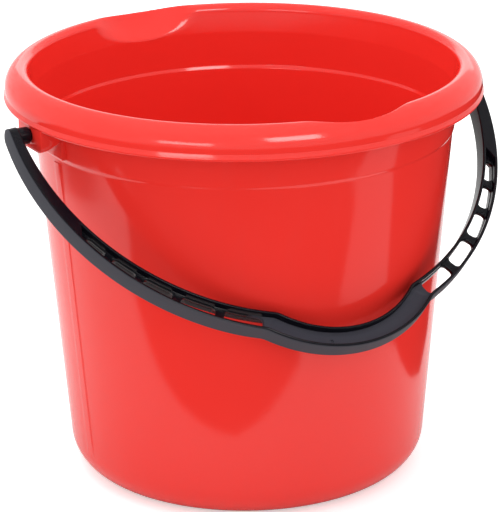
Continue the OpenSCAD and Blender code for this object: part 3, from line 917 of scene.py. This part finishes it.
# %% [markdown]
# ## Red plastic
# The pail is polished polypropylene: one strong red through and through, a clear gloss, and nothing
# printed on it. A photograph could be wrapped round it, but would carry its own light with it. What
# makes plastic look moulded is small: the wall is never quite flat, so reflections waver, mostly along
# the wall. Faint patches are duller from hands and stacking, and fine upright scuffs break up the gloss
# where pails slid into each other.

# %% The pail's finish
DEEP_RED, LIGHT_RED = (0.84, 0.029, 0.021, 1), (0.87, 0.036, 0.027, 1)
POLISHED, PATCHY, SCUFFED, SCUFF_FROM, SCUFF_FULL = 0.085, 0.06, 0.05, 0.56, 0.74
PEBBLE_SHARE, WAVER_STRENGTH, WAVER_HEIGHT = 0.004, 0.13, 0.004
red, surface, place = new_material("red_plastic", {"IOR": 1.49, "Specular IOR Level": 0.5})
patches = noise(place, 14, 3.0)
scuffs = noise(place, 160, 4.0, (1, 1, 0.12))
rub = scuffs.node("ShaderNodeMapRange", None, {0: scuffs, 1: SCUFF_FROM, 2: SCUFF_FULL})
waver, pebble = noise(place, 9, 1.5, (1, 1, 0.35)), noise(place, 420)
feed(surface, "Base Color", mix_colour(DEEP_RED, LIGHT_RED, patches))
feed(surface, "Roughness", patches * PATCHY + rub * SCUFFED + POLISHED)
feed(surface, "Normal", dent(waver + pebble * PEBBLE_SHARE, WAVER_STRENGTH, WAVER_HEIGHT))
coat(pail, red)
print("red plastic:", len(red.node_tree.nodes), "nodes, and", len(pail.data.materials), "slot")

# %% [markdown]
# ## Black plastic
# The handle is a stiffer plastic. Its flanges and arms are nearly black and rather glossy, and hands
# have worn them in places. Its outer side and the sunk floor of the grip keep the matt skin of the
# mould, and are also painted a lighter grey, which stands for the light they reflect. A second material
# on those faces would end in a hard line, so one material holds both. The outer side is known by the
# number on its points, and the floor by its distance from the handle's middle plane.

# %% The handle's finish
PLAIN_BLACK, WORN_BLACK = (0.0032, 0.003, 0.0055, 1), (0.0058, 0.0055, 0.009, 1)
# the two greys are painted reflected light on the black: one for the sunk floor, one for the outer side
SUNK_FLOOR_PAINTED_LIGHT, OUTER_SIDE_PAINTED_LIGHT = (0.046, 0.044, 0.060, 1), (0.054, 0.054, 0.066, 1)
SATIN, WORN, MATT, GRAIN_STRENGTH, GRAIN_HEIGHT = 0.16, 0.08, 0.32, 0.25, 0.0001
FLOOR_NEAR, FLOOR_FADE, FLOOR_ENDS, END_FADE = 1.55 * MM, 0.3 * MM, 64 * MM, 4 * MM


def fall(term, start, width):
    """1 up to start, 0 past start + width, and even between."""
    return 1.0 - ((term - start) * (1 / width)).math("MAXIMUM", 0.0).math("MINIMUM", 1.0)


black, surface, place = new_material("black_plastic", {"IOR": 1.5, "Specular IOR Level": 0.18})
grain, wear = noise(place, 900), noise(place, 40, 3.0)
lean_way = (0, math.cos(LEAN), -math.sin(LEAN))
off_plane = place.vector("SUBTRACT", (0, 0, PIVOT_Z * MM)).vector("DOT_PRODUCT", lean_way, output=1)
beside = place.part(0).math("ABSOLUTE")
sunk = fall(off_plane.math("ABSOLUTE"), FLOOR_NEAR, FLOOR_FADE) * fall(beside, FLOOR_ENDS, END_FADE)
outer_matt_and_painted_light = place.node("ShaderNodeAttribute", {"attribute_name": "matt_and_painted_light"}, None, "Fac")
# the sunk floor's grey is painted reflected light; the same mask also makes it matt
black_with_painted_floor_light = mix_colour(mix_colour(PLAIN_BLACK, WORN_BLACK, wear), SUNK_FLOOR_PAINTED_LIGHT, sunk)
# the outer side's lighter grey is painted reflected light from the pale floor
feed(surface, "Base Color", mix_colour(black_with_painted_floor_light, OUTER_SIDE_PAINTED_LIGHT, outer_matt_and_painted_light))
feed(surface, "Roughness", wear * WORN + SATIN + sunk.math("MAXIMUM", outer_matt_and_painted_light) * MATT)
feed(surface, "Normal", dent(grain, GRAIN_STRENGTH, GRAIN_HEIGHT))
coat(bow, black)
print("black plastic:", len(black.node_tree.nodes), "nodes, and", len(bow.data.materials), "slot")

# %% [markdown]
# ## Riding on the frame
# Each finished mesh rides on its body and takes the place of its CAD node, which is hidden.

# %% Hand the two pieces over
for piece, name, node, slot in (
    (pail, "pail_moulding", "bucket_body", "pail_plastic"),
    (bow, "handle_moulding", "handle", "handle_plastic"),
):
    piece.name = piece.data.name = name
    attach(piece, node)
    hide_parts(node)
    points = np.array([v.co for v in piece.data.vertices]) / MM
    print(name, "from", points.min(0).round(1), "to", points.max(0).round(1))

# %% [markdown]
# ## The camera
# The photograph looks down on the pail from the front left with a long lens. These numbers come from
# fitting the rim, the wall, the base and the handle's outline to the photograph.

# %% Camera
AZIMUTH, ELEVATION, ROLL = math.radians(-29.556), math.radians(19.672), math.radians(-0.642)
DISTANCE, AIM_Z, LENS, SENSOR, SHIFT = 1.951652, 0.137575, 206.70, 36, (0.0087, 0.0055)
ahead = Vector((math.sin(AZIMUTH), -math.cos(AZIMUTH), 0))
aside = Vector((math.cos(AZIMUTH), math.sin(AZIMUTH), 0))
back = ahead * math.cos(ELEVATION) + Vector((0, 0, math.sin(ELEVATION)))
upright = back.cross(aside)
right = aside * math.cos(ROLL) + upright * math.sin(ROLL)
upward = upright * math.cos(ROLL) - aside * math.sin(ROLL)
camera = bpy.data.objects.new("camera", bpy.data.cameras.new("camera"))
camera.data.lens, camera.data.sensor_width, camera.data.clip_end = LENS, SENSOR, 50
camera.data.shift_x, camera.data.shift_y = SHIFT
stand = Vector((0, 0, AIM_Z)) + back * DISTANCE
camera.matrix_world = Matrix.Translation(stand) @ Matrix((right, upward, back)).transposed().to_4x4()
scene.collection.objects.link(camera)
scene.camera = camera
print("camera at", [round(c, 3) for c in stand])

# %% [markdown]
# ## The floor
# The photograph is cut out on white. A pale floor with a little glow of its own, which only the camera
# sees, comes out white and still holds the pail's shadow.

# %% Floor
FLOOR_HALF, FLOOR_GLOW = 4, 0.5
WHITE, NOTHING = (1, 1, 1, 1), (0, 0, 0, 1)


def stage_sheet(name, points, material):
    """A flat piece of the stage. Its points count to the right, towards the camera and up."""
    places = [aside * x + ahead * y + Vector((0, 0, z)) for x, y, z in points]
    made = make_object(name, places, [tuple(range(len(places)))])
    coat(made, material)
    return made


pale, surface, place = new_material("pale_floor", {
    "Base Color": (0.85, 0.85, 0.85, 1), "Roughness": 0.9, "Emission Strength": FLOOR_GLOW,
})
feed(surface, "Emission Color", mix_colour(NOTHING, WHITE, place.node("ShaderNodeLightPath")))
floor_corners = [(FLOOR_HALF * x, FLOOR_HALF * y, 0) for x, y in ((-1, -1), (1, -1), (1, 1), (-1, 1))]
stage_sheet("floor", floor_corners, pale)
print("floor:", 2 * FLOOR_HALF, "m square")

# %% [markdown]
# ## Dark and bright cards
# A glossy pail mirrors its room. The wall faces slightly down, so most of it mirrors the table: in the
# photograph the table's front is dark and its far part bright, and their border is the arc on the wall.
# Card lying on the floor, which only reflections see, makes the same border. A bright card at the right
# stands for the window whose panes show on the wall.

# %% Cards on the floor, as distances to the right and towards the camera
CARD_UP, CARD_GAP = 0.0005, 0.0001
NO_GLOSS = {"Roughness": 1.0, "Specular IOR Level": 0.0}


def card_material(name, strength):
    """A card with a glow of plain strength."""
    return new_material(name, {
        **NO_GLOSS, "Base Color": NOTHING, "Emission Color": WHITE, "Emission Strength": strength,
    })[0]


def only_reflected(obj):
    """Seen in reflections and nowhere else."""
    obj.visible_camera = obj.visible_diffuse = obj.visible_shadow = False
    obj.visible_transmission = obj.visible_volume_scatter = False


dark, bright = card_material("dark_card", 0.03), card_material("bright_card", 0.75)
FLOOR_CARDS = {
    "front_card": (dark, [
        (-3.0, 0.245), (-0.45, 0.245), (-0.35, 0.207), (-0.267, 0.207), (-0.02, 0.217), (0.036, 0.24),
        (0.088, 0.262), (0.138, 0.278), (0.159, 0.314), (0.159, 4), (-3.0, 4)]),
    "side_card": (dark, [
        (0.159, 0.314), (0.26, 0.25), (0.31, 0.08), (0.296, 0.025), (0.26, -0.003), (0.229, -0.033),
        (0.212, -0.075), (0.236, -0.165), (0.28, -0.24), (0.3, -0.33), (0.31, -0.42), (0.29, -0.52),
        (0.2, -0.7), (0.1, -1.0), (4, -1.2), (4, 4), (0.159, 4)]),
    "left_card": (dark, [(-0.55, -0.27), (-0.55, 0.25), (-4, 0.25), (-4, -0.27)]),
    "window_card": (bright, [(0.282, 0.262), (0.388, 0.080), (1.2, 0.085), (1.2, 0.45)]),
}
for layer, (name, (material, corners)) in enumerate(FLOOR_CARDS.items()):
    height = CARD_UP + layer * CARD_GAP
    only_reflected(stage_sheet(name, [(*corner, height) for corner in corners], material))
print("cards:", ", ".join(FLOOR_CARDS))

# %% [markdown]
# ## The tent
# Above the table the pail mirrors a round tent of pale matt cloth. The world could be mirrored instead,
# but cloth that the world lights is a little dimmer than the world itself, which keeps the reflections
# quiet. The tent is a turned piece, closed over the top. Only reflections see it, so the world beyond
# it still lights the object evenly.

# %% Tent
TENT_R, TENT_LOW, CLOTH = 3.0, 1, (0.8, 0.8, 0.8, 1)
cloth = new_material("tent_cloth", {**NO_GLOSS, "Base Color": CLOTH})[0]
tent = turn_piece("light_tent", rounded(arc((0, 0), TENT_R, TENT_LOW, 90, 23)), 72, cloth)
only_reflected(tent)
print("tent:", 2 * TENT_R, "m across")

# %% [markdown]
# ## Cards behind, and the lamps
# Two upright cards behind the pail brighten the crest of its rim, where the plastic is seen at a low
# angle. The light comes from a wide soft box overhead, hidden from reflections, where the tent already
# is. Two small soft boxes that only reflections see make the two streaks of light on the rim.

# %% Cards behind: left, right, low and high ends, and strength
BEHIND = -2.6
for name, left_end, right_end, low, high, strength in (
    ("back_card", -0.2, 3.0, 0.0, 0.6, 0.9),
    ("back_panel", -1.0, 1.3, 0.6, 2.5, 1.7),
):
    corners = ((left_end, low), (right_end, low), (right_end, high), (left_end, high))
    points = [(end, BEHIND, height) for end, height in corners]
    only_reflected(stage_sheet(name, points, card_material(name, strength)))
    print(name, "glows at", strength)

# %% Lamps
RIM_SPOT, STRIP_AWAY = Vector((0, 0, 0.26)), 1.2


def sky_way(azimuth, elevation):
    """A direction from degrees round from the camera's side and degrees up."""
    a, e = math.radians(azimuth), math.radians(elevation)
    level = aside * math.sin(a) * math.cos(e) + ahead * math.cos(a) * math.cos(e)
    return level + Vector((0, 0, math.sin(e)))


def soft_box(name, place, aim, size, power):
    """A rectangular lamp that points at a spot."""
    lamp = bpy.data.lights.new(name, "AREA")
    lamp.shape = "RECTANGLE"
    lamp.size, lamp.size_y = size
    lamp.energy = power
    made = bpy.data.objects.new(name, lamp)
    made.location = place
    made.rotation_euler = (Vector(aim) - Vector(place)).to_track_quat("-Z", "Y").to_euler()
    scene.collection.objects.link(made)
    return made


overhead = soft_box("overhead_box", (-0.2, 0.1, 1.7), (0, 0, 0.2), (1.6, 1.6), 12.8)
overhead.visible_glossy = False
for name, way, size, power in (
    ("right_strip", sky_way(24, 33), (0.46, 0.38), 4.6),
    ("left_strip", sky_way(-26, 14), (0.5, 0.2), 1.8),
):
    strip = soft_box(name, way * STRIP_AWAY + RIM_SPOT, RIM_SPOT, size, power)
    strip.visible_diffuse = False
print("lamps:", [lamp.name for lamp in bpy.data.lights])

# %% [markdown]
# ## The world
# The world is white where the camera looks at it, lights matt surfaces from all round, and is nearly
# dark in reflections, which belong to the tent.

# %% World
LIGHT, MIRRORED = 1.05, 0.06
world = bpy.data.worlds.new("studio")
scene.world = world
world.use_nodes = True
tree = world.node_tree
sky = tree.nodes["Background"]
sky.inputs["Color"].default_value = WHITE
light_path = tree.nodes.new("ShaderNodeLightPath")
seen, mirrored = (Term(tree, light_path.outputs[f"Is {ray} Ray"]) for ray in ("Camera", "Glossy"))
strength = seen + (1.0 - seen) * ((1.0 - mirrored) * LIGHT + mirrored * MIRRORED)
feed(sky, "Strength", strength)
scene.view_settings.view_transform = "Standard"
print("world:", len(tree.nodes), "nodes")
